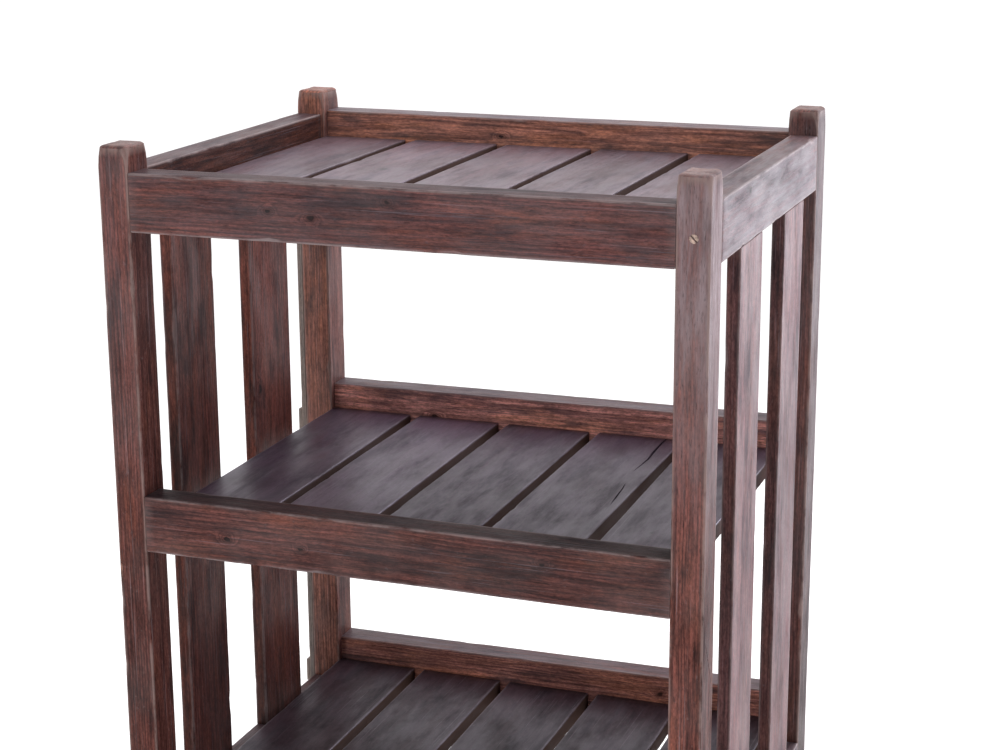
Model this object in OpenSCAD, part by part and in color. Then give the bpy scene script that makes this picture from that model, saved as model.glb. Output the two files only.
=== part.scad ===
/* [Rack] */
// Width over the posts
rack_w = 860; // [720:5:1100]
// Depth over the posts
rack_d = 685; // [630:5:900]
// Height of the top tray's front rail above the floor
rail_top = 1155; // [1120:5:1400]
// Step down from one tier of rails to the next
tier_step = 461; // [380:1:480]
// How much higher the back rail of each tier sits than its front rail
back_lift = 5; // [0:1:5]
// How much higher the lower tier sits than an even step down puts it
lower_lift = 5; // [0:1:10]

/* [Posts] */
// Post width, across the rack
post_w = 45; // [45:1:60]
// Post depth, from front to back
post_d = 57; // [56:1:70]
// Rise of the posts above the top tray's front rail
post_rise = 39; // [30:1:80]
// Width of the bevel round each post top
bevel_w = 8; // [4:1:12]
// Drop of that bevel
bevel_drop = 9; // [4:1:20]

/* [Rails] */
// Height of every rail
rail_h = 82; // [78:1:86]
// Thickness of the front and back rails
rail_t = 44; // [38:1:46]
// Thickness of the side rails
side_rail_t = 42; // [36:1:42]
// Set-back of the side rails from the outer faces of the posts
side_inset = 0; // [0:1:3]
// Drop of the lower side rails below the lower shelf's front rail
side_drop = 68; // [60:1:70]

/* [Rail tenons] */
// Thickness of the rail tenons
tenon_t = 14; // [10:1:16]
// Shoulder above and below each rail tenon
tenon_shoulder = 10; // [6:1:14]
// Length of the front and back rails' tenons
rail_tenon_l = 34; // [30:1:38]
// Length of the side rails' tenons
side_tenon_l = 22; // [14:1:22]
// Space left at the bottom of every mortise
end_play = 1; // [0.5:0.5:2]

/* [Side slats] */
// Slat width, from front to back
slat_w = 122; // [90:1:126]
// Slat thickness
slat_t = 19; // [16:1:22]
// Set-back of the slats from the outer faces of the posts
slat_inset = 0; // [0:1:6]
// Distance from the rack's front to the front slat
front_slat_at = 158; // [100:1:170]
// Distance from the rack's front to the rear slat
rear_slat_at = 416; // [370:1:420]
// Shoulder on each side of a slat's tenon
slat_shoulder = 5; // [3:1:6]
// Length of a slat's tenon
slat_tenon_l = 20; // [12:1:24]

/* [Shelf boards] */
// Number of boards in each tier
board_count = 5; // [3:1:7]
// Board thickness
board_t = 26; // [18:1:26]
// Drop of the boards below the front rail's top
board_drop = 37; // [30:1:38]
// Open space between two boards
board_space = 17; // [8:1:24]
// Play between the boards and the rails round them
board_play = 1; // [0.5:0.5:2]
// Width trimmed off the last board of the middle shelf
last_board_trim = 5; // [0:1:25]

/* [Cleats] */
// Cleat height
cleat_h = 16; // [12:1:16]
// Cleat depth, out from the rail
cleat_d = 22; // [20:1:30]

/* [Batten on the back left post] */
// Batten thickness
batten_t = 9; // [6:1:10]
// Batten width
batten_w = 38; // [24:1:50]
// Height of the batten's lower end above the floor
batten_foot = 120; // [20:5:150]
// Thickness of the packing blocks on the batten
block_t = 6; // [3:1:7]
// Height of the packing blocks
block_h = 40; // [20:1:60]

/* [Fixings] */
// Radius of the peg through the front right joint
peg_r = 6; // [4:0.5:7]
// Length of that peg
peg_l = 30; // [26:1:31]
// Radius of the screw shanks
screw_r = 2; // [1.5:0.25:2.5]
// Length of the screws that hold the boards
board_screw_l = 30; // [24:1:34]
// Length of the screws that hold the cleats
cleat_screw_l = 40; // [34:1:50]
// Length of the batten's nails
nail_l = 30; // [24:1:40]

/* [Hidden] */
$fn = 48;
LEFT = -1;
RIGHT = 1;
FRONT = -1;
BACK = 1;
TIERS = ["top", "middle", "lower"];
SIDES = [["left", LEFT], ["right", RIGHT]];
ENDS = [["front", FRONT], ["back", BACK]];
SLATS = [["front", front_slat_at], ["rear", rear_slat_at]];

post_colour = "#5d3b34";
rail_colour = "#593a34";
slat_colour = "#5a3f3b";
board_colour = "#4f4347";
cleat_colour = "#4a2f29";
batten_colour = "#6b5a55";
peg_colour = "#9a7f68";
wedge_colour = "#3a2620";
metal_colour = "#77706a";

cut = 1;                    // how far a cut runs past the face it opens in
fixing_play = 0.05;         // radial space round pegs, screws and nails
slat_tenon_t = 9;
head_r = 2 * screw_r;
head_h = 3;
nail_r = 1.25;
nail_head_h = 1;
wedge_t = 1.6;
wedge_depth = 9;
peg_inset = 21.7;           // from the post's outer face to the peg's axis
peg_drop = 42;              // from the rail's top to the peg's axis
block_drop = 42;            // from a front rail's top to the block beside it

post_h = rail_top + post_rise;
inner_x = rack_w / 2 - post_w;
board_edge = max(post_w, side_inset + side_rail_t) + board_play;
board_run = rack_w - 2 * board_edge;
board_w = (board_run - (board_count - 1) * board_space) / board_count;
lower_side_top = tier_top(2) - side_drop;

function tier_top(t) = rail_top - t * tier_step + (t == 2 ? lower_lift : 0);
function rail_z(t, end) = tier_top(t) + (end == BACK ? back_lift : 0);
function board_z(t) = tier_top(t) - board_drop;
function in_x(side, spans) = [for (d = spans) side * (rack_w / 2 - d)];
function in_y(end, spans) = [for (d = spans) end * (rack_d / 2 - d)];
function from_front(spans) = [for (d = spans) d - rack_d / 2];
function middle(span) = (span[0] + span[1]) / 2;
function tenon_z(top) = [top - rail_h + tenon_shoulder, top - tenon_shoulder];
function about(centre, size) = [centre - size / 2, centre + size / 2];
function trim(t, i) = t == 1 && i == board_count - 1 ? last_board_trim : 0;
function board_x(t, i) = [
    i * (board_w + board_space) - board_run / 2,
    i * (board_w + board_space) - board_run / 2 + board_w - trim(t, i)
];
function space_x(i) = (i + 1) * (board_w + board_space) - board_space / 2 - board_run / 2;

// A square-edged block between two X, two Y and two Z planes, in any order
module block(x, y, z) {
    translate([min(x), min(y), min(z)])
        cube([max(x) - min(x), max(y) - min(y), max(z) - min(z)]);
}

// Outline of a post seen from one side, its top corners bevelled
module post_outline(w) {
    polygon([
        [-w / 2, 0],
        [w / 2, 0],
        [w / 2, post_h - bevel_drop],
        [w / 2 - bevel_w, post_h],
        [bevel_w - w / 2, post_h],
        [-w / 2, post_h - bevel_drop]
    ]);
}

module post_blank() {
    intersection() {
        rotate([90, 0, 0]) linear_extrude(post_d, center = true) post_outline(post_w);
        rotate([90, 0, 90]) linear_extrude(post_w, center = true) post_outline(post_d);
    }
}

module post(side, end) {
    rail_reach = [post_w - rail_tenon_l - end_play, post_w + cut];
    side_reach = [post_d - side_tenon_l - end_play, post_d + cut];
    color(post_colour)
    difference() {
        translate([middle(in_x(side, [0, post_w])), middle(in_y(end, [0, post_d])), 0]) post_blank();
        for (t = [0 : 2])
            block(in_x(side, rail_reach), in_y(end, about(rail_t / 2, tenon_t)), tenon_z(rail_z(t, end)));
        for (top = [rail_top, lower_side_top])
            block(in_x(side, about(side_inset + side_rail_t / 2, tenon_t)), in_y(end, side_reach), tenon_z(top));
        if (side == RIGHT && end == FRONT) peg_bore();
        if (side == LEFT && end == BACK) nail_holes();
    }
}

// A front or back rail, tenoned into two posts
module long_rail(t, end) {
    top = rail_z(t, end);
    tenon_x = inner_x + rail_tenon_l;
    color(rail_colour)
    difference() {
        union() {
            block([-inner_x, inner_x], in_y(end, [0, rail_t]), [top - rail_h, top]);
            block([-tenon_x, tenon_x], in_y(end, about(rail_t / 2, tenon_t)), tenon_z(top));
        }
        cleat_screw_set(t, end, fixing_play);
        if (t == 0 && end == FRONT) peg_bore();
    }
}

// A side rail, tenoned into two posts; slat_way is -1 with the slats below it, 1 above
module side_rail(side, top, slat_way) {
    inner_y = rack_d / 2 - post_d;
    tenon_y = inner_y + side_tenon_l;
    face = slat_way < 0 ? top - rail_h : top;
    reach = slat_tenon_l + end_play;
    color(rail_colour)
    difference() {
        union() {
            block(in_x(side, [side_inset, side_inset + side_rail_t]), [-inner_y, inner_y], [top - rail_h, top]);
            block(in_x(side, about(side_inset + side_rail_t / 2, tenon_t)), [-tenon_y, tenon_y], tenon_z(top));
        }
        for (k = SLATS)
            slat_tenon(side, k[1], [face + slat_way * cut, face - slat_way * reach]);
    }
}

module slat_tenon(side, at, z) {
    block(
        in_x(side, about(slat_inset + slat_t / 2, slat_tenon_t)),
        from_front([at + slat_shoulder, at + slat_w - slat_shoulder]),
        z
    );
}

module side_slat(side, at) {
    foot = lower_side_top;
    head = rail_top - rail_h;
    color(slat_colour) {
        union() {
            block(in_x(side, [slat_inset, slat_inset + slat_t]), from_front([at, at + slat_w]), [foot, head]);
            slat_tenon(side, at, [foot - slat_tenon_l, head + slat_tenon_l]);
        }
    }
}

module board(t, i) {
    ends = [rail_t + board_play - rack_d / 2, rack_d / 2 - rail_t - board_play];
    color(board_colour)
    difference() {
        block(board_x(t, i), ends, [board_z(t) - board_t, board_z(t)]);
        board_screw_set(t, fixing_play);
    }
}

module cleat(t, end) {
    top = board_z(t) - board_t;
    color(cleat_colour)
    difference() {
        block([-inner_x, inner_x], in_y(end, [rail_t, rail_t + cleat_d]), [top - cleat_h, top]);
        board_screw_set(t, fixing_play);
        cleat_screw_set(t, end, fixing_play);
    }
}

// A countersunk screw along +Z from its head; play widens it into its own hole
module screw(length, play) {
    cylinder(h = head_h, r1 = head_r + play, r2 = screw_r + play);
    cylinder(h = length + play, r = screw_r + play);
}

// One screw up through each cleat into each board
module board_screw_set(t, play) {
    for (i = [0 : board_count - 1], end = [FRONT, BACK])
        translate([
            middle(board_x(t, i)),
            middle(in_y(end, [rail_t, rail_t + cleat_d])),
            board_z(t) - board_t - cleat_h
        ])
            screw(board_screw_l, play);
}

// Screws through a cleat into its rail, below the spaces between the boards
module cleat_screw_set(t, end, play) {
    for (i = [0 : board_count - 2])
        translate([
            space_x(i),
            in_y(end, [rail_t + cleat_d])[0],
            board_z(t) - board_t - cleat_h / 2
        ])
            rotate([-90 * end, 0, 0]) screw(cleat_screw_l, play);
}

// Places a shape, drawn along +Z, in the peg's hole, which opens in the post's front
module at_peg() {
    translate([in_x(RIGHT, [peg_inset])[0], -rack_d / 2, rail_top - peg_drop])
        rotate([-90, 0, 0]) children();
}

module peg_bore() {
    at_peg() translate([0, 0, -cut]) cylinder(h = peg_l + 2 * cut, r = peg_r);
}

module wedge_slot(t) {
    rotate([0, 0, 45]) translate([-peg_r, -t / 2, -cut]) cube([2 * peg_r, t, wedge_depth + cut]);
}

module corner_peg() {
    color(peg_colour)
    at_peg() difference() {
        cylinder(h = peg_l, r = peg_r - fixing_play);
        wedge_slot(wedge_t);
    }
}

module peg_wedge() {
    color(wedge_colour)
    at_peg() intersection() {
        cylinder(h = wedge_depth, r = peg_r - 2 * fixing_play);
        wedge_slot(wedge_t);
    }
}

// The batten and its blocks, on the outer face of the back left post
module beside_post(spans, z) {
    block(in_x(LEFT, spans), in_y(BACK, [post_d - batten_w, post_d]), z);
}

module post_batten() {
    color(batten_colour)
    difference() {
        beside_post([-batten_t, 0], [batten_foot, rail_top - rail_h]);
        nail_holes();
    }
}

module batten_block(t) {
    color(batten_colour)
    difference() {
        beside_post([-batten_t - block_t, -batten_t], [block_z(t), block_z(t) - block_h]);
        nail_holes();
    }
}

function block_z(t) = tier_top(t) - block_drop;

// Each nail of the batten: its height, and how far its head stands out from the post
NAILS = [
    [rail_top - rail_h - 60, batten_t],
    [block_z(1) - block_h / 2, batten_t + block_t],
    [(block_z(1) + block_z(2)) / 2, batten_t],
    [block_z(2) - block_h / 2, batten_t + block_t]
];

module nail(play) {
    cylinder(h = nail_head_h, r = 2 * nail_r + play);
    cylinder(h = nail_l + play, r = nail_r + play);
}

module nail_set(play) {
    for (n = NAILS)
        translate([in_x(LEFT, [-n[1]])[0], middle(in_y(BACK, [post_d - batten_w, post_d])), n[0]])
            rotate([0, 90, 0]) nail(play);
}

module nail_holes() {
    nail_set(fixing_play);
}

for (e = ENDS, s = SIDES)
    post(s[1], e[1]);
for (t = [0 : 2], e = ENDS)
    long_rail(t, e[1]);
for (s = SIDES)
    side_rail(s[1], rail_top, -1);
for (s = SIDES)
    side_rail(s[1], lower_side_top, 1);
for (s = SIDES, k = SLATS)
    side_slat(s[1], k[1]);
for (t = [0 : 2], i = [0 : board_count - 1])
    board(t, i);
for (t = [0 : 2], e = ENDS)
    cleat(t, e[1]);
for (t = [0 : 2])
    color(metal_colour) board_screw_set(t, 0);
for (t = [0 : 2])
    color(metal_colour) for (end = [FRONT, BACK]) cleat_screw_set(t, end, 0);
corner_peg();
peg_wedge();
post_batten();
batten_block(1);  // batten_block_upper
batten_block(2);  // batten_block_lower
color(metal_colour) nail_set(0);  // batten_nails
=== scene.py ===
import math
import random
import zlib

import bmesh
import bpy
from mathutils import Matrix, Vector, noise


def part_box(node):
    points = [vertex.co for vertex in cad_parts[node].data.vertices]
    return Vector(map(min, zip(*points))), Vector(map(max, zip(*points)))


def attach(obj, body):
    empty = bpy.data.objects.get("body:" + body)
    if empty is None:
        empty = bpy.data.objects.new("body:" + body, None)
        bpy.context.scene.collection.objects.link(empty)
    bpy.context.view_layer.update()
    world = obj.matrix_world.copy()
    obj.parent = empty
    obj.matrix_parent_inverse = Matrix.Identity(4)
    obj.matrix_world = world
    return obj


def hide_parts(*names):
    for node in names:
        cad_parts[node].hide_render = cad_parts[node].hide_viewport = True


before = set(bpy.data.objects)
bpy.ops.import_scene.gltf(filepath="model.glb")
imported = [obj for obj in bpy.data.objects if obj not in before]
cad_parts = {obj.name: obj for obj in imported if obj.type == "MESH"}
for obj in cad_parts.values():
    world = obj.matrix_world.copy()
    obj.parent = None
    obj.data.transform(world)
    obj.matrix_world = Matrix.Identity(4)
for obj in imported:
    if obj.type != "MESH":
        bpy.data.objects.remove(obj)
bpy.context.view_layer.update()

MM = 0.001
X, Y, Z = 0, 1, 2
BODY = "root"
TIERS = ("top", "middle", "lower")
ARC_STEPS = 5                                 # segments in a rounded arris
SECTION_STEP = 14 * MM                        # spacing of points across a face
STATION_STEP = 14 * MM                        # spacing of sections along a piece
END_STEPS = (0.0, 0.12, 0.4, 1.0)             # where a rounded end has its sections, as shares of it
ARRIS_MARGINS = (1.5 * MM, 4 * MM, 9 * MM)    # extra points beside an arris, for its wear
FULLEST_ARRIS = 0.48                          # the largest radius an arris may have, as a share of a side
SHARPEST_ARRIS = 0.05 * MM                    # the smallest radius it's drawn with
PLANING, RAISED_GRAIN = (7, 45), (3, 260)     # pace per metre of bumps, along the grain and across it
SMOOTH_UP_TO = math.radians(38)               # the sharpest edge that is still shaded as rounded
ARRIS_WEAR, END_WEAR = 0.8 * MM, 1.5 * MM     # how far wear spreads from an arris and from an end
FAR = 20 * MM                                 # a distance from an arris at which nothing is worn
INSIDE_A_CUT = -1.0                           # stands for that distance at points inside a cut
CRACK_SKIN = 1.5 * MM                         # points of a cut deeper than this count as inside it
PLAIN = (1.0, 1.0, 1.0)                       # a tint that changes nothing
CRACK_PAINTED_SHADE = (0.12, 0.12, 0.12)               # tint factor that paints shade on the wood inside a crack
RAW_WOOD = (7.0, 15.0, 16.0)                  # tint factor of the pale wood inside a fresh chip
TOP_RINGS = (0.995, 0.975, 0.94, 0.89, 0.82, 0.72, 0.58, 0.4, 0.2)   # over a post's top, as shares of it
MOTTLING = 0.32                               # how much small patches of a wood differ in lightness
NO_KNOT = (0.0, 9.0, 1.0)                     # a knot placed far outside the piece
KNOT_LABELS = ("knot_a", "knot_b", "knot_c")


# ---------------------------------------------------------------- timber meshes

def seed_of(name):
    return zlib.crc32(name.encode()) % 10007


def smooth_step(t):
    t = min(max(t, 0.0), 1.0)
    return t * t * (3 - 2 * t)


def flat_fractions(length):
    """Where the points of one flat side lie, as shares of its length."""
    near = [d for d in ARRIS_MARGINS if d < 0.3 * length]
    start = near[-1] / length if near else 0.2
    count = max(1, round((1 - 2 * start) * length / SECTION_STEP))
    inner = [start + (1 - 2 * start) * i / count for i in range(1, count)]
    low = [d / length for d in near]
    return low + inner + [1 - f for f in reversed(low)]


def section(half_w, half_t, radii, fractions, inset):
    """One trip round a piece's section: (w, t, distance from the nearest arris) for each point."""
    corners = ((1, 1), (-1, 1), (-1, -1), (1, -1))
    arcs = []
    for (sw, st), r in zip(corners, radii):
        r = min(r, FULLEST_ARRIS * half_w * 2, FULLEST_ARRIS * half_t * 2)
        centre = (sw * (half_w - r), st * (half_t - r))
        first = math.atan2(st, sw) - math.pi / 4
        r_drawn = max(r - inset, SHARPEST_ARRIS)
        arcs.append([
            (centre[0] + r_drawn * math.cos(first + i / ARC_STEPS * math.pi / 2),
             centre[1] + r_drawn * math.sin(first + i / ARC_STEPS * math.pi / 2))
            for i in range(ARC_STEPS + 1)
        ])
    points = []
    for k, arc in enumerate(arcs):
        points += [(w, t, 0.0) for w, t in arc]
        a, b = arc[-1], arcs[(k + 1) % 4][0]
        span = math.dist(a, b)
        for f in fractions[k % 2]:
            points.append((a[0] + (b[0] - a[0]) * f, a[1] + (b[1] - a[1]) * f, span * min(f, 1 - f)))
    return points


def stations(length, end_round):
    """Distances along a piece at which it has a section, closer together at its rounded ends."""
    ends = [end_round * s for s in END_STEPS]
    count = max(2, round((length - 2 * end_round) / STATION_STEP))
    run = length - 2 * end_round
    inner = [end_round + run * i / count for i in range(1, count)]
    return ends + inner + [length - e for e in reversed(ends)]


def end_inset(distance, end_round):
    """How far a rounded end draws a section in, at this distance from the end."""
    if distance >= end_round:
        return 0.0
    return end_round - math.sqrt(max(end_round ** 2 - (end_round - distance) ** 2, 0.0))


def write_attribute(mesh, name, values):
    """Adds and fills one layer at once, because adding a layer makes earlier ones unsafe to fill."""
    layer = mesh.attributes.new(name, "FLOAT_VECTOR", "POINT")
    layer.data.foreach_set("vector", [x for value in values for x in value])


def dress(mesh, in_log, marks, tints, gloss, knots):
    """Stores what the wood materials read: each point's place in the log, how rubbed it is, its dust
    and painted sheen, its painted shade in the gaps, its tint, partly painted light, its gloss, and the
    piece's knots."""
    write_attribute(mesh, "grain", in_log)
    write_attribute(mesh, "marks", marks)
    write_attribute(mesh, "tint", tints)
    write_attribute(mesh, "gloss", [(value, 0.0, 0.0) for value in gloss])
    for label, centre in zip(KNOT_LABELS, knots):
        write_attribute(mesh, label, [centre] * len(in_log))


def linked(name, mesh):
    obj = bpy.data.objects.new(name, mesh)
    bpy.context.scene.collection.objects.link(obj)
    return obj


def micron_key(point):
    """A point's place to the nearest micron, by which it's found again after a cut."""
    return tuple(round(c, 6) for c in point)


class Crack:
    """An open split: points along it with its width at each, the way into the wood and across it."""
    proud, narrowest, flare, shallowest = 3 * MM, 0.1 * MM, 0.7, 0.15

    def __init__(self, path, inward, across, depth=9 * MM):
        self.path, self.inward, self.across, self.depth = path, Vector(inward), Vector(across), depth

    def wedge(self):
        """A closed mesh with a V section that follows the split, a little proud of the surface."""
        bm = bmesh.new()
        rows = []
        widest = max(width for _, width in self.path)
        for point, width in self.path:
            p, proud = Vector(point), -self.proud * self.inward
            side = self.across * max(width, self.narrowest) * self.flare
            deep = self.inward * self.depth * max(width / widest, self.shallowest)
            rows.append([bm.verts.new(q) for q in (p + proud + side, p + proud - side, p + deep)])
        for a, b in zip(rows, rows[1:]):
            for i in range(3):
                j = (i + 1) % 3
                bm.faces.new((a[i], a[j], b[j], b[i]))
        bm.faces.new(rows[0])
        bm.faces.new(rows[-1])
        bmesh.ops.recalc_face_normals(bm, faces=bm.faces)
        mesh = bpy.data.meshes.new("wedge")
        bm.to_mesh(mesh)
        bm.free()
        return mesh

    def cut(self, mesh):
        """A copy of the mesh with the split cut out of it."""
        body, tool = linked("cut_body", mesh), linked("cut_tool", self.wedge())
        step = body.modifiers.new("cut", "BOOLEAN")
        step.operation, step.solver, step.object = "DIFFERENCE", "EXACT", tool
        graph = bpy.context.evaluated_depsgraph_get()
        result = bpy.data.meshes.new_from_object(body.evaluated_get(graph))
        for obj in (body, tool):
            bpy.data.objects.remove(obj)
        return result


class PostTop:
    """How a post's top is dressed: over its last stretch, its arrises widen and it is less dusty, and
    its end is bevelled."""
    reach, widening, easing, cleaner = 34 * MM, 8 * MM, 1.8, 0.7
    drop, bevel, trimmed, saw_marks, from_arris = 4.2 * MM, 7.5 * MM, 0.3 * MM, 0.5 * MM, 5 * MM
    sides_end = 2.1 * drop


class Timber:
    """A piece of wood: its box, its grain direction and how it is worn. Its mesh keeps the
    position of every point in the log it was cut from, which the wood materials read.
    Its arrises vary by their unevenness, and are knocked where a noise passes knock_from."""
    unevenness, knock_from, knock_depth = 0.45, 0.42, 9 * MM

    def __init__(self, name, low, high, grain, arris=1.8 * MM, end_round=1.2 * MM, rough=0.25 * MM,
                 bow=0.4 * MM, wear=0.6, dings=1.0, top=None, tilt=(0.0, 0.0), knots=(),
                 tint=PLAIN, dust=(0.3, 0.3), painted_gap_shade=0.0, gloss=1.0, faces=None, taper=(0.0, 0.0),
                 cracks=(), cut_shade=CRACK_PAINTED_SHADE, shade=(1.0, 1.0)):
        self.name, self.grain = name, grain
        self.low, self.high = Vector(low), Vector(high)
        size = self.high - self.low
        self.wide, self.thin = sorted((a for a in (X, Y, Z) if a != grain), key=lambda a: -size[a])
        self.length = size[grain]
        self.half_w, self.half_t = size[self.wide] / 2, size[self.thin] / 2
        self.centre = (self.low + self.high) / 2
        self.arris, self.end_round, self.rough = arris, end_round, rough
        self.wear, self.dings, self.tint, self.dust, self.painted_gap_shade = wear, dings, tint, dust, painted_gap_shade
        self.top, self.tilt, self.taper = top, tilt, taper
        self.gloss, self.shade, self.faces = gloss, shade, faces or {}
        self.cracks, self.cut_shade = cracks, cut_shade
        draw = random.Random(seed_of(name))
        self.seed = draw.uniform(0, 50)
        self.pith = (draw.uniform(-0.5, 0.5) * self.half_w, draw.uniform(0.03, 0.07))
        self.shift = draw.uniform(0, 20)
        self.bend = (draw.uniform(-1, 1) * bow, draw.uniform(-1, 1) * bow)
        self.knots = (list(knots) + [NO_KNOT] * len(KNOT_LABELS))[:len(KNOT_LABELS)]

    def world(self, along, w, t):
        """The place in space of a point given along the piece and across its two widths."""
        p = Vector((0, 0, 0))
        p[self.grain] = self.low[self.grain] + along
        p[self.wide] = self.centre[self.wide] + w
        p[self.thin] = self.centre[self.thin] + t
        share = along / self.length
        p[Z] += self.tilt[0] * (1 - share) + self.tilt[1] * share
        narrowing = self.taper[0] * (1 - share) + self.taper[1] * share
        p[self.wide] += narrowing * (0.5 - 0.5 * w / self.half_w)
        return p

    def arris_radius(self, along, k):
        """The radius of arris k at this distance along: uneven, with a few knocks."""
        wander = noise.noise(Vector((along * 9, self.seed + 3.1 * k, 0.5)))
        knock = max(0.0, noise.noise(Vector((along * 31, self.seed + 7.7 * k, 9.5))) - self.knock_from)
        r = self.arris * (1 + self.unevenness * wander) + knock * self.knock_depth * self.dings
        if self.top:
            reach = (along - (self.length - self.top.reach)) / self.top.reach
            r += self.top.widening * smooth_step(reach) ** self.top.easing
        return r

    def bumps(self, along, w, t, pace):
        return noise.noise(Vector((along * pace[0], w * pace[1], t * pace[1] + self.seed)))

    def surface(self, along, w, t):
        """A point moved off its flat face by planing marks, bowing and raised grain."""
        relief = self.bumps(along, w, t, PLANING) * self.rough
        relief += self.bumps(along, w, t, RAISED_GRAIN) * self.rough * 0.5
        scale = 1 + relief / max(self.half_w, self.half_t)
        arch = math.sin(math.pi * along / self.length)
        thin_scale = 1 + relief / self.half_t * 0.5
        return w * scale + self.bend[0] * arch, t * thin_scale + self.bend[1] * arch

    def top_height(self, w, t):
        """How far the dressed top of a post lies below its highest point."""
        drop = 0.0
        for value, half in ((w, self.half_w), (t, self.half_t)):
            reach = (abs(value) - (half - self.top.bevel)) / self.top.bevel
            drop += self.top.drop * max(reach, 0.0) ** 2
        return drop

    def build(self):
        """The piece as an object: a skin over its sections, closed at both ends."""
        fractions = [flat_fractions(2 * (half - self.arris)) for half in (self.half_w, self.half_t)]
        bm = bmesh.new()
        rows, facts = [], {}
        places = stations(self.length, self.end_round)
        if self.top:
            places = [s for s in places if s <= self.length - self.top.sides_end]
        for s in places:
            inset = end_inset(s, self.end_round)
            if not self.top:
                inset = max(inset, end_inset(self.length - s, self.end_round))
            radii = [self.arris_radius(s, k) for k in range(4)]
            rows.append(self.add_row(bm, facts, s, radii, fractions, inset))
        if self.top:
            rows += self.dressed_top(bm, facts, fractions)
        for a, b in zip(rows, rows[1:]):
            for i in range(len(a)):
                j = (i + 1) % len(a)
                bm.faces.new((a[i], a[j], b[j], b[i]))
        self.cap(bm, facts, rows[0], reverse=True)
        self.cap(bm, facts, rows[-1], reverse=False)
        bmesh.ops.recalc_face_normals(bm, faces=bm.faces)
        return self.finish_mesh(bm, facts)

    def worn(self, s, gap):
        """How rubbed a point is: 1 on an arris, less at a piece's ends, and 0 away from both."""
        if gap == INSIDE_A_CUT:
            return 0.0
        end = min(s, self.length - s)
        return self.wear * max(math.exp(-gap / ARRIS_WEAR), 0.7 * math.exp(-end / END_WEAR))

    def look(self, s, w, t, gap):
        """The tint, dust and gloss at a point: the piece's own, changed on the faces listed for it, where
        the tint is painted light and shade and the extra dust partly painted sheen.
        """
        along = s / self.length
        tint = Vector(self.tint) * (self.shade[0] + (self.shade[1] - self.shade[0]) * along)
        dust = self.dust[0] + (self.dust[1] - self.dust[0]) * along
        if self.top:
            dust *= 1 - self.top.cleaner * smooth_step((s - self.length + self.top.reach) / self.top.reach)
        gloss = self.gloss
        # painted light and shade: listed faces lightened or darkened as the lamps reach them
        for (axis, side), (factor, extra, dulled) in self.faces.items():
            value, half = (w, self.half_w) if axis == self.wide else (t, self.half_t)
            share = smooth_step((side * value - half) / self.arris + 1)
            tint = tint.lerp(tint * Vector(factor), share)
            dust += extra * share
            gloss *= 1 + (dulled - 1) * share
        # inside a crack the tint is darkened as painted shade; inside the chip it is paled as raw wood
        if gap == INSIDE_A_CUT:
            tint = tint * Vector(self.cut_shade)
        return tint, min(max(dust, 0.0), 1.0), gloss

    def painted_gap_shade_at(self, w, t):
        """1 on the narrow faces of a piece given painted shade there: the board edges that face each other
        across the gaps are painted dark as shade.
        """
        if not self.painted_gap_shade:
            return 0.0
        margin, blend, top_blend = 1.5 * MM, 1.0 * MM, 2 * MM
        beside = smooth_step((abs(w) - self.half_w + margin) / blend)
        below = smooth_step((self.half_t * 0.9 - t) / top_blend)
        return self.painted_gap_shade * beside * below

    def add_row(self, bm, facts, s, radii, fractions, inset):
        """The points of one section, with the facts of each: (along, w, t, distance from an arris)."""
        row = []
        for w, t, gap in section(self.half_w - inset, self.half_t - inset, radii, fractions, inset * 0.3):
            moved = self.surface(s, w, t)
            v = bm.verts.new(self.world(s, *moved))
            facts[v] = (s, w, t, gap)
            row.append(v)
        return row

    def dressed_top(self, bm, facts, fractions):
        """Rings that climb from the straight sides over the bevelled top towards its middle."""
        rows = []
        radii = [self.arris_radius(self.length, k) for k in range(4)]
        outline = section(self.half_w, self.half_t, radii, fractions, 0.0)
        for shrink in TOP_RINGS:
            row = []
            for w, t, gap in outline:
                w2, t2 = w * shrink, t * shrink
                s = self.length - self.top.trimmed - self.top_height(w2, t2)
                s += noise.noise(Vector((w2 * 60, t2 * 60, self.seed))) * self.top.saw_marks
                v = bm.verts.new(self.world(s, w2, t2))
                facts[v] = (s, w2, t2, 0.0 if shrink == TOP_RINGS[0] else self.top.from_arris)
                row.append(v)
            rows.append(row)
        return rows

    def cap(self, bm, facts, row, reverse):
        """A fan of triangles that closes one end."""
        middle = sum((v.co for v in row), Vector()) / len(row)
        centre = bm.verts.new(middle)
        s = facts[row[0]][0]
        facts[centre] = (s, 0.0, 0.0, FAR)
        for i in range(len(row)):
            trio = (row[i], row[(i + 1) % len(row)], centre)
            bm.faces.new(trio[::-1] if reverse else trio)

    def finish_mesh(self, bm, facts):
        """Cuts the cracks, sets the shading and stores what the wood materials read."""
        bm.verts.ensure_lookup_table()
        ordered = [facts[v] for v in bm.verts]
        mesh = bpy.data.meshes.new(self.name)
        bm.to_mesh(mesh)
        bm.free()
        if self.cracks:
            known = {micron_key(v.co): fact for v, fact in zip(mesh.vertices, ordered)}
            for crack in self.cracks:
                mesh = crack.cut(mesh)
            ordered = [known.get(micron_key(v.co)) or self.cut_fact(v.co) for v in mesh.vertices]
        for polygon in mesh.polygons:
            polygon.use_smooth = True
        mesh.set_sharp_from_angle(angle=SMOOTH_UP_TO)
        looks = [self.look(*fact) for fact in ordered]
        dress(mesh, [(s + self.shift, w + self.pith[0], t + self.pith[1]) for s, w, t, gap in ordered],
              [(self.worn(fact[0], fact[3]), dust, self.painted_gap_shade_at(fact[1], fact[2]))
               for fact, (tint, dust, gloss) in zip(ordered, looks)],
              [tint for tint, dust, gloss in looks], [gloss for tint, dust, gloss in looks],
              [(ks + self.length / 2 + self.shift, kw + self.pith[0], r) for ks, kw, r in self.knots])
        return linked(self.name, mesh)

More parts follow.
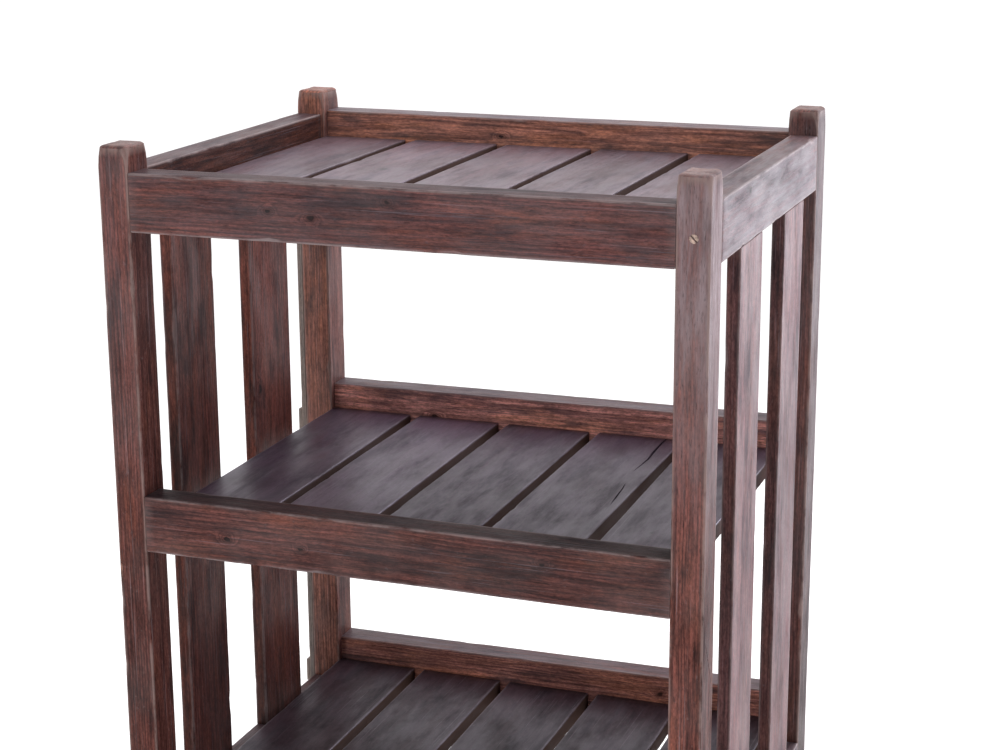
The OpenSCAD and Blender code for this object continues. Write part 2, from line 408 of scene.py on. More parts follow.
    def cut_fact(self, point):
        """The facts of a point made by cutting a crack."""
        w, t = point[self.wide] - self.centre[self.wide], point[self.thin] - self.centre[self.thin]
        inside = abs(w) < self.half_w - CRACK_SKIN and abs(t) < self.half_t - CRACK_SKIN
        return point[self.grain] - self.low[self.grain], w, t, INSIDE_A_CUT if inside else FAR


# ---------------------------------------------------------------- materials

class Nodes:
    """Short ways to add and join shader nodes."""

    def __init__(self, name):
        self.material = bpy.data.materials.new(name)
        self.material.use_nodes = True
        self.tree = self.material.node_tree
        self.shader = next(n for n in self.tree.nodes if n.type == "BSDF_PRINCIPLED")

    def add(self, kind, **inputs):
        node = self.tree.nodes.new(kind)
        for key, value in inputs.items():
            setattr(node, key, value)
        return node

    def join(self, source, target):
        if isinstance(source, bpy.types.NodeSocket):
            self.tree.links.new(source, target)
        else:
            target.default_value = source

    def attribute(self, name):
        return self.add("ShaderNodeAttribute", attribute_name=name)

    def math(self, operation, a, b=0.0, c=0.0, clamp=False):
        node = self.add("ShaderNodeMath", operation=operation, use_clamp=clamp)
        for socket, value in zip(node.inputs, (a, b, c)):
            self.join(value, socket)
        return node.outputs[0]

    def vector(self, operation, a, b=(0, 0, 0)):
        node = self.add("ShaderNodeVectorMath", operation=operation)
        self.join(a, node.inputs[0])
        self.join(b, node.inputs[1])
        return node.outputs["Value"] if operation in ("LENGTH", "DISTANCE") else node.outputs[0]

    def noise(self, vector, scale, detail=3.0, roughness=0.55):
        """Noise of a point stretched by scale, from 0 to 1."""
        node = self.add("ShaderNodeTexNoise")
        self.join(self.vector("MULTIPLY", vector, scale), node.inputs["Vector"])
        node.inputs["Scale"].default_value = 1.0
        node.inputs["Detail"].default_value = detail
        node.inputs["Roughness"].default_value = roughness
        return node.outputs["Fac"]

    def noise_vector(self, vector, scale):
        node = self.add("ShaderNodeTexNoise")
        self.join(self.vector("MULTIPLY", vector, scale), node.inputs["Vector"])
        node.inputs["Scale"].default_value = 1.0
        node.inputs["Detail"].default_value = 2.0
        return self.vector("SUBTRACT", node.outputs["Color"], (0.5, 0.5, 0.5))

    def span(self, value, low, high, to_low=0.0, to_high=1.0):
        node = self.add("ShaderNodeMapRange", interpolation_type="SMOOTHSTEP")
        self.join(value, node.inputs["Value"])
        for key, number in (("From Min", low), ("From Max", high), ("To Min", to_low), ("To Max", to_high)):
            node.inputs[key].default_value = number
        return node.outputs["Result"]

    def grey(self, value):
        """A number as a grey colour."""
        node = self.add("ShaderNodeCombineXYZ")
        for socket in node.inputs:
            self.join(value, socket)
        return node.outputs[0]

    def mix(self, factor, a, b, mode="MIX"):
        node = self.add("ShaderNodeMix", data_type="RGBA", blend_type=mode)
        self.join(factor, node.inputs[0])
        for value, socket in ((a, node.inputs[6]), (b, node.inputs[7])):
            self.join((*value, 1.0) if isinstance(value, tuple) else value, socket)
        return node.outputs[2]

    def bump(self, height, distance, strength=1.0):
        node = self.add("ShaderNodeBump")
        self.join(height, node.inputs["Height"])
        node.inputs["Distance"].default_value = distance
        node.inputs["Strength"].default_value = strength
        return node.outputs["Normal"]


def split(n, vector):
    node = n.add("ShaderNodeSeparateXYZ")
    n.join(vector, node.inputs[0])
    return node.outputs


def knot_reach(n, grain, label):
    """Distance to a knot that runs through the piece's thickness, as a multiple of its radius."""
    centre = n.attribute(label).outputs["Vector"]
    lumps = n.vector("MULTIPLY", n.noise_vector(grain, (110.0, 110.0, 110.0)), (0.007, 0.007, 0.007))
    lumpy = n.vector("ADD", grain, lumps)
    away = n.vector("MULTIPLY", n.vector("SUBTRACT", lumpy, centre), (0.6, 1.0, 0.0))
    return n.math("DIVIDE", n.vector("LENGTH", away), split(n, centre)[2])


class Figure:
    """What the colour and the surface of a wood share: its growth rings round the pith, fibres,
    dark lines, pores, blotches and knots, and the marks on the piece: wear, dust with painted sheen, and
    painted gap shade."""

    def __init__(self, n, rings):
        grain = self.grain = n.attribute("grain").outputs["Vector"]
        self.rub, self.dust, self.painted_gap_shade = split(n, n.attribute("marks").outputs["Vector"])
        wandering = n.vector("MULTIPLY", n.noise_vector(grain, (2.2, 16.0, 16.0)), (0.0, 0.014, 0.014))
        flowing = n.vector("ADD", grain, wandering)
        reaches = [knot_reach(n, grain, label) for label in KNOT_LABELS]
        self.knot = n.math("MINIMUM", n.math("MINIMUM", reaches[0], reaches[1]), reaches[2])
        self.late_wood = self.growth(n, flowing, rings)
        self.fibres = n.noise(flowing, (15.0, 240.0, 240.0), 6.0, 0.78)
        self.lines = n.span(n.noise(flowing, (2.5, 620.0, 620.0), 2.0, 0.5), 0.54, 0.66)
        self.blotches = n.noise(grain, (8.0, 34.0, 34.0), 6.0, 0.68)
        self.pores = n.span(n.noise(grain, (90.0, 900.0, 900.0), 2.0), 0.60, 0.68)

    def growth(self, n, flowing, rings):
        """Late wood, from 0 to 1: dark bands that swirl round knots, so many per metre of radius."""
        _, y, z = split(n, flowing)
        radius = n.math("SQRT", n.math("ADD", n.math("MULTIPLY", y, y), n.math("MULTIPLY", z, z)))
        swirl = n.math("MULTIPLY", n.math("POWER", n.span(self.knot, 5.0, 0.0), 2.0), 3.5)
        uneven = n.math("MULTIPLY", n.noise(flowing, (0.6, 70.0, 70.0), 1.0), 1.8)
        field = n.math("ADD", n.math("ADD", n.math("MULTIPLY", radius, rings), swirl), uneven)
        ring = n.math("FRACT", field)
        return n.math("MULTIPLY", n.span(ring, 0.25, 0.85), n.span(ring, 1.0, 0.90))


def stained(n, log, early, late, stain, red, figure):
    """The stained wood's own colour, with patches where the stain is thin and the piece's tint."""
    thin = n.noise(n.vector("ADD", log.grain, (3.0, 5.0, 7.0)), (5.0, 26.0, 26.0), 5.0, 0.65)
    patches = n.noise(log.grain, (2.5, 9.0, 9.0), 2.0)
    colour = n.mix(n.math("MULTIPLY", log.late_wood, 0.62 * figure), early, late)
    colour = n.mix(n.span(thin, 0.46, 0.66, 0.0, 0.6 * figure), colour, red)
    contrast = n.span(log.fibres, 0.28, 0.72, max(1 - 0.55 * figure, 0.12), 1 + 0.62 * figure)
    colour = n.mix(1.0, colour, n.grey(contrast), "MULTIPLY")
    colour = n.mix(n.math("MULTIPLY", log.lines, 0.4 * figure), colour, stain)
    speckle = n.noise(log.grain, (130.0, 330.0, 330.0), 4.0, 0.7)
    mottle = n.span(speckle, 0.3, 0.7, 1 - MOTTLING, 1 + MOTTLING)
    colour = n.mix(1.0, colour, n.grey(mottle), "MULTIPLY")
    colour = n.mix(n.span(log.blotches, 0.49, 0.67, 0.0, 0.7), colour, stain)
    colour = n.mix(1.0, colour, n.grey(n.span(patches, 0.36, 0.64, 1.2, 0.8)), "MULTIPLY")
    return n.mix(1.0, colour, n.attribute("tint").outputs["Vector"], "MULTIPLY")


def used(n, log, colour, late, stain, worn, grey, side):
    """That colour under dust and painted sheen, scuffs, scratches, knots and pores, rubbed at arrises, and
    painted dark as shade on the board edges across the gaps.
    """
    scuffs = n.span(n.noise(log.grain, (110.0, 170.0, 170.0), 4.0, 0.7), 0.60, 0.72)
    elsewhere = n.vector("ADD", log.grain, (1.0, 2.0, 3.0))
    scratches = n.span(n.noise(elsewhere, (5.0, 500.0, 500.0), 3.0, 0.6), 0.62, 0.70)
    cover = n.span(n.noise(log.grain, (11.0, 90.0, 90.0), 6.0, 0.72), 0.34, 0.66, 0.35, 1.0)
    # greyed by dust, which in places stands for painted sheen
    colour = n.mix(n.math("MULTIPLY", cover, log.dust), colour, grey)
    colour = n.mix(n.math("MULTIPLY", scuffs, 0.22), colour, grey)
    colour = n.mix(n.math("MULTIPLY", scratches, 0.3), colour, tuple(1.6 * v for v in grey))
    colour = n.mix(n.span(log.knot, 2.2, 1.1, 0.0, 0.45), colour, late)
    colour = n.mix(n.span(log.knot, 1.1, 0.6, 0.0, 0.8), colour, tuple(0.35 * v for v in stain))
    colour = n.mix(n.math("MULTIPLY", log.pores, 0.45), colour, tuple(0.3 * v for v in stain))
    in_places = n.span(n.noise(log.grain, (18.0, 60.0, 60.0), 5.0, 0.7), 0.32, 0.58)
    colour = n.mix(n.math("MULTIPLY", log.rub, in_places), colour, worn)
    # painted shade: the board edges that face each other across the gaps darkened to the side colour
    return n.mix(n.math("MULTIPLY", log.painted_gap_shade, 0.9), colour, side)


def sheen_and_relief(n, log, roughness, gloss, raised, figure):
    """The wood's roughness, its patchy sheen and its raised grain."""
    along_fibres = n.span(log.fibres, 0.3, 0.75, roughness - 0.04 * figure, roughness + 0.08 * figure)
    rough = n.math("ADD", along_fibres, n.span(log.blotches, 0.4, 0.7, -0.05, 0.10))
    rough = n.math("ADD", rough, n.math("MULTIPLY", log.painted_gap_shade, 0.3), clamp=True)
    n.join(rough, n.shader.inputs["Roughness"])
    patchy = n.span(n.noise(log.grain, (8.0, 19.0, 19.0), 4.0, 0.62), 0.36, 0.64, 0.5, 1.5)
    shine = n.math("MULTIPLY", split(n, n.attribute("gloss").outputs["Vector"])[0], patchy)
    shine = n.math("MULTIPLY", shine, n.math("MULTIPLY_ADD", log.painted_gap_shade, -0.9 * gloss, gloss))
    n.join(shine, n.shader.inputs["Specular IOR Level"])
    height = n.math("ADD", n.math("MULTIPLY", log.late_wood, 0.5), n.math("MULTIPLY", log.fibres, 0.8))
    hollows = n.math("MULTIPLY", n.math("MAXIMUM", log.lines, log.pores), 0.4)
    n.join(n.bump(n.math("SUBTRACT", height, hollows), raised), n.shader.inputs["Normal"])


def wood(name, early, late, stain, red, worn, grey, rings=230.0, roughness=0.46, gloss=0.22,
         raised=0.16 * MM, figure=1.0, side=(0.02, 0.012, 0.01), sheen=(1.0, 1.0, 1.0)):
    """Stained softwood cut from a log. figure scales the contrast of its grain; side is the colour
    painted as shade on the narrow faces of boards, across the gaps between them."""
    n = Nodes(name)
    log = Figure(n, rings)
    colour = stained(n, log, early, late, stain, red, figure)
    n.join(used(n, log, colour, late, stain, worn, grey, side), n.shader.inputs["Base Color"])
    sheen_and_relief(n, log, roughness, gloss, raised, figure)
    n.shader.inputs["Specular Tint"].default_value = (*sheen, 1.0)
    n.shader.inputs["IOR"].default_value = 1.47
    return n.material


def steel(name):
    n = Nodes(name)
    place = n.add("ShaderNodeTexCoord").outputs["Object"]
    spots = n.noise(place, (420.0, 420.0, 420.0), 4.0)
    colour = n.mix(n.span(spots, 0.45, 0.7), (0.33, 0.31, 0.29), (0.12, 0.09, 0.07))
    n.join(colour, n.shader.inputs["Base Color"])
    n.join(n.span(spots, 0.3, 0.7, 0.35, 0.65), n.shader.inputs["Roughness"])
    n.join(n.bump(spots, 0.1 * MM), n.shader.inputs["Normal"])
    n.shader.inputs["Metallic"].default_value = 0.9
    return n.material


RED_BROWN = dict(early=(0.122, 0.046, 0.039), late=(0.040, 0.0135, 0.012), stain=(0.014, 0.0085, 0.0105),
                 red=(0.140, 0.048, 0.031), worn=(0.32, 0.255, 0.255), grey=(0.150, 0.122, 0.145))
POST_BROWN = dict(RED_BROWN, worn=(0.27, 0.19, 0.175), grey=(0.28, 0.21, 0.225))
SHELF_BROWN = dict(early=(0.058, 0.034, 0.044), late=(0.034, 0.020, 0.026), stain=(0.014, 0.0095, 0.014),
                   red=(0.070, 0.038, 0.040), worn=(0.22, 0.18, 0.20), grey=(0.142, 0.116, 0.138))
BATTEN_GREY = dict(early=(0.19, 0.145, 0.13), late=(0.10, 0.07, 0.06), stain=(0.07, 0.05, 0.045),
                   red=(0.2, 0.13, 0.1), worn=(0.35, 0.28, 0.24), grey=(0.26, 0.23, 0.22))
PEG_PALE = dict(early=(0.46, 0.33, 0.27), late=(0.28, 0.19, 0.15), stain=(0.2, 0.13, 0.1),
                red=(0.4, 0.26, 0.2), worn=(0.5, 0.4, 0.34), grey=(0.4, 0.34, 0.32))
WEDGE_DARK = dict(early=(0.05, 0.03, 0.022), late=(0.03, 0.018, 0.014), stain=(0.02, 0.012, 0.01),
                  red=(0.06, 0.03, 0.02), worn=(0.08, 0.05, 0.04), grey=(0.06, 0.05, 0.04))
WOODS = {
    "post_wood": wood("post_wood", **POST_BROWN, rings=210.0),
    "rail_wood": wood("rail_wood", **RED_BROWN, rings=240.0, figure=1.1),
    "slat_wood": wood("slat_wood", **RED_BROWN, rings=220.0, gloss=0.14, figure=0.85),
    # the boards' side colour is painted shade for their edges across the gaps
    "board_wood": wood("board_wood", **SHELF_BROWN, rings=200.0, roughness=0.40, gloss=0.5,
                       raised=0.05 * MM, figure=0.7, side=(0.085, 0.050, 0.040), sheen=(0.98, 0.84, 1.1)),
    "cleat_wood": wood("cleat_wood", **RED_BROWN, roughness=0.6, gloss=0.15),
    "batten_wood": wood("batten_wood", **BATTEN_GREY, roughness=0.65),
    "peg_wood": wood("peg_wood", **PEG_PALE, rings=900.0),
    "wedge_wood": wood("wedge_wood", **WEDGE_DARK, roughness=0.7),
}
STEEL = steel("fixing_steel")


# ---------------------------------------------------------------- pieces

def place(obj, slot, *nodes):
    """Gives a piece its wood, its slot and its body, in place of CAD nodes."""
    obj.data.materials.append(WOODS[slot])
    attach(obj, BODY)
    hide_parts(*nodes)
    return obj


def between_posts(node, axis):
    """A rail's box between the faces of its two posts."""
    low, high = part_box(node)
    low[axis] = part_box("post_front_left")[1][axis]
    high[axis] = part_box("post_back_right")[0][axis]
    return low, high


def drawn_tint(name, tint=PLAIN, spread=0.07):
    """A tint made a little lighter or darker by a draw that belongs to the piece."""
    draw = random.Random(seed_of(name) + 5)
    factor = 1 + draw.uniform(-spread, spread)
    return tuple(v * factor for v in tint)


# Each post: how far its top stands above or below the others, its extra width, tint and dust.
# The tint is partly painted light, lighter on posts the lamps reach more, and the dust partly painted sheen
POSTS = {
    "post_front_left": (-2.5 * MM, 0.0, (1.05, 0.92, 0.9), (-0.25, 0.25)),
    "post_front_right": (0.0, 0.0, (1.3, 1.12, 1.03), (-2.0, 1.4)),
    "post_back_left": (-1.0 * MM, 2.5 * MM, (1.9, 1.75, 1.5), (0.0, 0.2)),
    "post_back_right": (0.0, 0.0, PLAIN, (0.0, 0.3)),
}
# each rail's tint, partly painted light: lighter on the back rails, whose front faces the lamps reach
RAIL_TINTS_AND_PAINTED_LIGHT = {
    "top_front_rail": (1.12, 1.0, 1.0),
    "middle_front_rail": (0.95, 0.88, 0.85),
    "lower_front_rail": PLAIN,
    "top_back_rail": (1.25, 1.2, 1.15),
    "middle_back_rail": (1.25, 1.2, 1.15),
    "lower_back_rail": (1.2, 1.1, 1.1),
}
SIDE_RAIL_TINT = (0.85, 0.8, 0.8)
# slat tints, painted light and shade: the left slats darker, shaded from the lamps on the right, the right
# slats bluer, as lit by the bluish lamps on the right
SLAT_TINTS_PAINTED_LIGHT = {"left": (0.8, 0.7, 0.68), "right": (0.85, 0.95, 1.1)}
# Each tier of boards: tint, dust and gloss. The tint is painted light and shade: lighter on the
# top tier under the overhead lamp, darker on the lower tiers shaded by those above; the dust is
# partly painted sheen
BOARD_TIERS_PAINTED_LIGHT = {
    "top": ((1.65, 1.5, 1.4), 0.45, 1.0),
    "middle": ((0.97, 0.9, 1.3), 0.3, 1.0),
    "lower": ((0.5, 0.42, 0.45), 0.05, 0.75),
}
# Boards that are lighter or darker than the rest of their tier: tint and gloss factor
ODD_BOARDS = {"top_board_2": 1.3, "top_board_4": 0.84, "middle_board_2": 1.15, "middle_board_3": 0.84,
              "middle_board_5": 0.9}
# Faces that differ from the rest of their piece: tint factor, extra dust, gloss factor. The tint
# factors are painted light and shade, each face lightened or darkened by how the lamps reach it,
# most of all on the front faces of the back rails; the extra dust is partly painted sheen
FACES_PAINTED_LIGHT = {
    "post_front_left": {(X, 1): ((0.8, 0.88, 0.88), -0.1, 0.05)},
    "post_front_right": {(X, 1): ((0.65, 0.8, 0.95), 0.15, 0.2)},
    "post_back_left": {(Y, -1): ((1.2, 1.35, 1.3), 0.0, 1.0), (X, 1): ((0.6, 0.7, 0.8), 0.0, 0.25)},
    "post_back_right": {(X, 1): ((0.5, 0.6, 0.75), 0.0, 0.4)},
    "slat_right": {(X, 1): ((1.65, 1.6, 1.65), 0.3, 0.9)},
    "slat_left": {(X, 1): ((1.4, 1.35, 1.3), 0.0, 0.4), (Y, -1): ((1.5, 1.3, 1.1), 0.0, 1.0)},
    "front_rail": {(Z, 1): ((0.5, 0.6, 0.7), 0.08, 0.28)},
    "top_back_rail": {(Y, -1): ((3.0, 3.5, 3.0), 0.0, 1.0), (Z, 1): ((0.8, 1.0, 1.1), 0.7, 1.0)},
    "middle_back_rail": {(Y, -1): ((4.6, 5.8, 6.2), 0.0, 1.0), (Z, 1): ((0.8, 1.0, 1.1), 0.7, 1.0)},
    "lower_back_rail": {(Y, -1): ((3.4, 4.2, 4.0), 0.0, 1.0), (Z, 1): ((0.8, 1.0, 1.1), 0.5, 1.0)},
    "rail_left": {(Z, 1): ((1.0, 1.1, 1.2), 0.4, 0.7), (X, 1): ((0.85, 0.88, 0.75), 0.0, 0.25)},
    "rail_right": {(X, 1): ((1.0, 1.15, 1.6), 0.5, 0.8), (Z, 1): ((1.1, 1.2, 1.3), 0.6, 1.0)},
}
# Knots, as distance along from the middle, distance across from the middle, and radius
KNOTS = {
    "middle_front_rail": [(-0.256, -0.007, 3.5 * MM), (-0.143, -0.008, 2.5 * MM), (0.21, 0.012, 3 * MM)],
    "top_front_rail": [(-0.176, 0.001, 3 * MM), (-0.113, -0.005, 3.5 * MM), (-0.003, 0.022, 2.5 * MM)],
    "top_right_rail": [(-0.138, 0.028, 3.5 * MM)],
    "top_back_rail": [(-0.08, 0.012, 3 * MM)],
    "lower_back_rail": [(0.194, 0.01, 4 * MM)],
    "middle_back_rail": [(-0.2, -0.002, 4 * MM)],
    "top_board_2": [(0.006, 0.0, 6 * MM), (-0.084, 0.013, 4 * MM)],
    "middle_board_5": [(-0.153, -0.007, 2.5 * MM)],
    "left_slat_rear": [(0.12, -0.045, 5 * MM)],
}
# How far rails drop or rise at their left and right ends, against square with the posts
TILTS = {
    "middle_front_rail": (0.0, -3.0 * MM),
    "top_back_rail": (0.0, -2.0 * MM),
    "middle_back_rail": (-0.6 * MM, 3.4 * MM),
    "lower_back_rail": (-1.6 * MM, 4.8 * MM),
}
# How far the left edge of a board moves to the right at its front and back ends
TAPERS = {"middle_board_5": (3 * MM, -6 * MM)}
# How far each slat's front and rear edges lie from where its drawing puts them
SLAT_EDGES = {
    "left_slat_front": (0.0, 0.0),
    "left_slat_rear": (-13 * MM, -3 * MM),
    "right_slat_front": (2 * MM, 2 * MM),
    "right_slat_rear": (4 * MM, 4 * MM),
}


# Cracks, as (where along the piece, where across it, width) in mm, measured from where cracks_in says
LONG_SPLIT = ((0, 113, 2.4), (30, 112, 3.4), (75, 113, 4.2), (120, 116, 3.2), (160, 114, 2.0),
              (195, 112, 0))
SHORT_SPLIT = ((245, 118, 0), (275, 122, 1.8), (320, 125, 2.4), (358, 128, 0))
CHECK = ((584, 8, 0), (567, 19, 1.6), (540, 33, 1.8), (515, 44, 1.4), (491, 54, 0))
CHIP = ((558, 2.4, 0), (568, 2.4, 2.5), (578, 2.4, 4.5), (588, 2.4, 5), (592, 2.4, 0))
DOWN, INTO_LEFT, ALONG_X, ALONG_Y = (0, 0, -1), (-1, 0, 0), (1, 0, 0), (0, 1, 0)


def cracks_in(name):
    """The open splits of a piece, placed from its CAD box."""
    low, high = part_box(name)
    if name == "middle_board_4":
        # in its upper face, from 2 mm behind its back end and from its left edge
        left, back, top = low[X], high[Y] + 2 * MM, high[Z]
        return [Crack([((left + x * MM, back - y * MM, top), width * MM) for y, x, width in split_path],
                      DOWN, ALONG_X) for split_path in (LONG_SPLIT, SHORT_SPLIT)]
    if name == "post_front_right":
        # in its outer face, from the floor and from its front face
        front, face = low[Y], high[X]
        return [Crack([((face, front + y * MM, z * MM), width * MM) for z, y, width in CHECK],
                      INTO_LEFT, ALONG_Y)]
    if name == "post_front_left":
        # in its front face, from the floor and from its left face
        left, face = low[X], low[Y]
        return [Crack([((left + x * MM, face, z * MM), width * MM) for z, x, width in CHIP],
                      ALONG_Y, ALONG_X, depth=4 * MM)]
    return []


def posts():
    for name, (rise, extra, tint, dust) in POSTS.items():
        low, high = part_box(name)
        high[Z] += rise
        high[X] += extra
        piece = Timber(name + "_worn", low, high, Z, end_round=2 * MM, wear=0.75, top=PostTop,
                       tint=drawn_tint(name, tint), dust=dust, dings=1.2, faces=FACES_PAINTED_LIGHT[name],
                       cracks=cracks_in(name),
                       cut_shade=RAW_WOOD if name == "post_front_left" else CRACK_PAINTED_SHADE,
                       shade=(0.7, 1.1) if name.endswith("left") else (0.95, 1.0))
        place(piece.build(), "post_wood", name)


def rails():
    for tier in TIERS:
        for end in ("front", "back"):
            name = f"{tier}_{end}_rail"
            low, high = between_posts(name, X)
            piece = Timber(name + "_worn", low, high, X, end_round=1.8 * MM, wear=0.6,
                           knots=KNOTS.get(name, ()), tilt=TILTS.get(name, (0.0, 0.0)),
                           tint=drawn_tint(name, RAIL_TINTS_AND_PAINTED_LIGHT[name]),
                           dust=(0.25, 0.25) if tier == "top" else (0.1, 0.1),
                           faces=FACES_PAINTED_LIGHT[name if end == "back" else "front_rail"])
            place(piece.build(), "rail_wood", name)
    for tier in ("top", "lower"):
        for side in ("left", "right"):
            name = f"{tier}_{side}_rail"
            low, high = between_posts(name, Y)
            piece = Timber(name + "_worn", low, high, Y, end_round=1.6 * MM, wear=0.6,
                           knots=KNOTS.get(name, ()), tint=drawn_tint(name, SIDE_RAIL_TINT),
                           dust=(0.1, 0.1), faces=FACES_PAINTED_LIGHT["rail_" + side])
            place(piece.build(), "rail_wood", name)


def slats():
    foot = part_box("lower_left_rail")[1][Z]
    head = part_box("top_left_rail")[0][Z]
    for name, (front, rear) in SLAT_EDGES.items():
        low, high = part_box(name)
        low[Z], high[Z] = foot, head
        low[Y] += front
        high[Y] += rear
        side = "right" if name.startswith("right") else "left"
        piece = Timber(name + "_worn", low, high, Z, arris=1.3 * MM, end_round=0.8 * MM, bow=0.5 * MM,
                       wear=0.4, knots=KNOTS.get(name, ()), tint=drawn_tint(name, SLAT_TINTS_PAINTED_LIGHT[side]),
                       dust=(0.03, 0.03), faces=FACES_PAINTED_LIGHT["slat_" + side],
                       shade=(0.45, 1.15) if side == "left" else (0.95, 1.0))
        place(piece.build(), "slat_wood", name)


def boards():
    for tier, (tint, dust, gloss) in BOARD_TIERS_PAINTED_LIGHT.items():
        for i in range(1, 6):
            name = f"{tier}_board_{i}"
            low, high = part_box(name)
            draw = random.Random(seed_of(name))
            lift = draw.uniform(-0.4, 0.4) * MM
            odd = ODD_BOARDS.get(name, 1.0)
            knots = KNOTS.get(name, [])
            if not knots and draw.random() < 0.4:
                knots = [(draw.uniform(-0.22, 0.22), draw.uniform(-0.04, 0.04), draw.uniform(2, 4) * MM)]
            # the narrow faces of the boards, across the gaps, get painted shade
            piece = Timber(name + "_worn", low, high, Y, arris=1.5 * MM, rough=0.35 * MM, bow=0.8 * MM,
                           wear=0.4, tilt=(lift, lift), knots=knots, dust=(dust, dust), painted_gap_shade=1.0,
                           tint=drawn_tint(name, [v * odd for v in tint], 0.1), gloss=gloss * odd,
                           taper=TAPERS.get(name, (0.0, 0.0)), cracks=cracks_in(name))
            place(piece.build(), "board_wood", name)


def cleats():
    for tier in TIERS:
        for end in ("front", "back"):
            name = f"{tier}_{end}_cleat"
            low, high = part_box(name)
            piece = Timber(name + "_worn", low, high, X, arris=1.2 * MM, end_round=1.0 * MM, bow=0.0,
                           wear=0.3, tint=drawn_tint(name))
            place(piece.build(), "cleat_wood", name)


def battens():
    for name in ("post_batten", "batten_block_upper", "batten_block_lower"):
        low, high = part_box(name)
        piece = Timber(name + "_worn", low, high, Z, arris=1.0 * MM, end_round=1.0 * MM, bow=0.0,
                       rough=0.15 * MM, wear=0.5, tint=drawn_tint(name), dust=(0.6, 0.6))
        place(piece.build(), "batten_wood", name)


# The rounded head of the peg, from its middle out: share of its radius, and depth in mm
PEG_RINGS = ((0.0, -0.9), (0.5, -0.85), (0.8, -0.6), (0.95, -0.2), (1.0, 0.4), (1.0, 4.0))
PEG_STEPS = 14                                # segments in half a turn of the peg
PEG_DUST = 0.2
PEG_SLOT, WEDGE_SPAN, WEDGE_HALF = 0.15, 0.98, 0.16   # half its slot, half the wedge's width and
WEDGE_SUNK = 0.5 * MM                                 # thickness, as shares of its radius


def peg():
    """The peg in the front right joint: two rounded cheeks either side of a wedge."""
    low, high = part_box("corner_peg")
    centre = (low + high) / 2
    radius = (high[X] - low[X]) / 2
    turn = Matrix.Rotation(math.radians(45), 3, "Y")
    for label, slot, half_gap in (("corner_peg", "peg_wood", PEG_SLOT * radius),
                                  ("peg_wedge", "wedge_wood", 0.0)):
        bm = bmesh.new()
        for side in (1, -1) if half_gap else (0,):
            cheek(bm, side, radius, half_gap)
        bmesh.ops.recalc_face_normals(bm, faces=bm.faces)
        mesh = bpy.data.meshes.new(label)
        bm.to_mesh(mesh)
        bm.free()
        mesh.transform(turn.to_4x4())
        mesh.transform(Matrix.Translation((centre[X], low[Y], centre[Z])))
        places = [tuple(v.co) for v in mesh.vertices]
        count = len(places)
        dress(mesh, [(y, x, z) for x, y, z in places], [(0.0, PEG_DUST, 0.0)] * count, [PLAIN] * count,
              [1.0] * count, [NO_KNOT] * len(KNOT_LABELS))
        place(linked(label + "_worn", mesh), slot, label)


def cheek(bm, side, radius, half_gap):
    """Half a peg's head on one side of its slot; side 0 is the upper half of the wedge in the slot."""
    rows = []
    for share, depth in PEG_RINGS:
        row = []
        for i in range(PEG_STEPS + 1):
            angle = math.pi * i / PEG_STEPS
            if side:
                x = radius * share * math.cos(angle)
                z = side * (half_gap + (radius - half_gap) * share * math.sin(angle))
            else:
                x = radius * WEDGE_SPAN * (2 * i / PEG_STEPS - 1)
                z = WEDGE_HALF * radius * (1 if share > 0.9 else share)
            row.append(bm.verts.new((x, depth * MM + (0.0 if side else WEDGE_SUNK), z)))
        rows.append(row)
    for a, b in zip(rows, rows[1:]):
        for i in range(PEG_STEPS):
            bm.faces.new((a[i], a[i + 1], b[i + 1], b[i]))
    if side:
        for a, b in zip(rows, rows[1:]):
            bm.faces.new((a[0], b[0], b[-1], a[-1]))
        bm.faces.new(rows[0])
    bm.faces.new(rows[-1])


def carried_over():
    """CAD nodes whose shape is right, and which only need a material."""
    for node in ("top_board_screws", "middle_board_screws", "lower_board_screws", "top_cleat_screws",
                 "middle_cleat_screws", "lower_cleat_screws", "batten_nails"):
        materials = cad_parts[node].data.materials
        materials.clear()
        materials.append(STEEL)


# ---------------------------------------------------------------- stage

def pale_floor():
    """A wide white floor that glows a little, so that it stays as pale as the photograph's."""
    n = Nodes("pale_floor")
    place_on = n.add("ShaderNodeTexCoord").outputs["Object"]
    n.join(n.mix(n.noise(place_on, (3.0, 3.0, 3.0), 3.0), (0.86, 0.86, 0.87), (0.89, 0.89, 0.89)),
           n.shader.inputs["Base Color"])
    n.shader.inputs["Roughness"].default_value = 0.9
    n.shader.inputs["Emission Color"].default_value = (1, 1, 1, 1)
    n.shader.inputs["Emission Strength"].default_value = 0.4
    bm = bmesh.new()
    bmesh.ops.create_grid(bm, x_segments=8, y_segments=8, size=60.0)
    mesh = bpy.data.meshes.new("floor")
    bm.to_mesh(mesh)
    bm.free()
    floor = bpy.data.objects.new("floor", mesh)
    mesh.materials.append(n.material)
    bpy.context.scene.collection.objects.link(floor)


def softbox(name, at, towards, width, height, watts, colour=(1, 1, 1)):
    light = bpy.data.lights.new(name, "AREA")
    light.shape = "RECTANGLE"
    light.size, light.size_y = width, height
    light.energy = watts
    light.color = colour
    obj = bpy.data.objects.new(name, light)
    obj.location = at
    obj.rotation_euler = (Vector(towards) - Vector(at)).to_track_quat("-Z", "Y").to_euler()
    bpy.context.scene.collection.objects.link(obj)


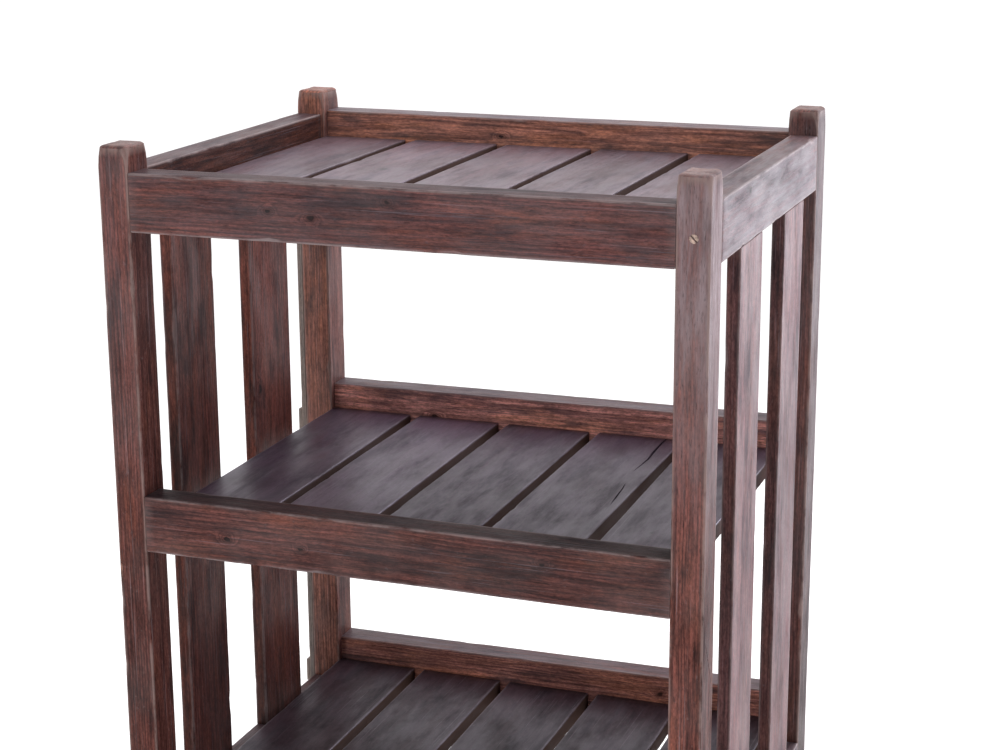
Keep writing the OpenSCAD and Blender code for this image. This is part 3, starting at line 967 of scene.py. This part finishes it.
def studio():
    """A white studio, brighter behind the rack than in front, with soft lights above and to its right."""
    world = bpy.data.worlds.new("studio")
    bpy.context.scene.world = world
    world.use_nodes = True
    tree = world.node_tree
    background = tree.nodes["Background"]
    background.inputs["Color"].default_value = (1.0, 1.0, 1.0, 1.0)
    direction = tree.nodes.new("ShaderNodeTexCoord")
    parts = tree.nodes.new("ShaderNodeSeparateXYZ")
    tree.links.new(direction.outputs["Generated"], parts.inputs[0])
    strength = tree.nodes.new("ShaderNodeMapRange")
    for key, value in (("From Min", -0.6), ("From Max", 0.5), ("To Min", 0.5), ("To Max", 1.0)):
        strength.inputs[key].default_value = value
    tree.links.new(parts.outputs["Y"], strength.inputs["Value"])
    tree.links.new(strength.outputs["Result"], background.inputs["Strength"])
    softbox("overhead", (0.2, 0.9, 3.2), (0, 0, 1.0), 2.4, 2.4, 45, (1.0, 0.98, 1.0))
    softbox("right_rear", (1.6, 2.3, 1.3), (0.43, 0.0, 0.9), 1.1, 2.4, 48, (0.90, 0.91, 1.0))
    softbox("right", (2.6, 0.2, 1.5), (0.43, 0.0, 0.9), 1.4, 2.0, 10, (0.97, 0.95, 1.0))
    softbox("front_fill", (-0.8, -3.4, 2.2), (0, 0, 0.8), 1.6, 1.6, 14, (1.0, 0.95, 0.92))


def camera():
    """The photograph's view: a standing eye in front of the rack and to its right."""
    azimuth, elevation, roll = (math.radians(a) for a in (20.27, 14.74, -0.35))
    data = bpy.data.cameras.new("camera")
    data.sensor_width = 36.0
    data.lens = 75.25
    obj = bpy.data.objects.new("camera", data)
    turn = Matrix.Rotation(azimuth, 4, "Z") @ Matrix.Rotation(math.pi / 2 - elevation, 4, "X")
    obj.matrix_world = Matrix.Translation((1.0617, -2.805, 1.6085)) @ turn @ Matrix.Rotation(roll, 4, "Z")
    bpy.context.scene.collection.objects.link(obj)
    bpy.context.scene.camera = obj


camera()
studio()
pale_floor()
bpy.context.scene.view_settings.view_transform = "Standard"
posts()
rails()
slats()
boards()
cleats()
battens()
peg()
carried_over()
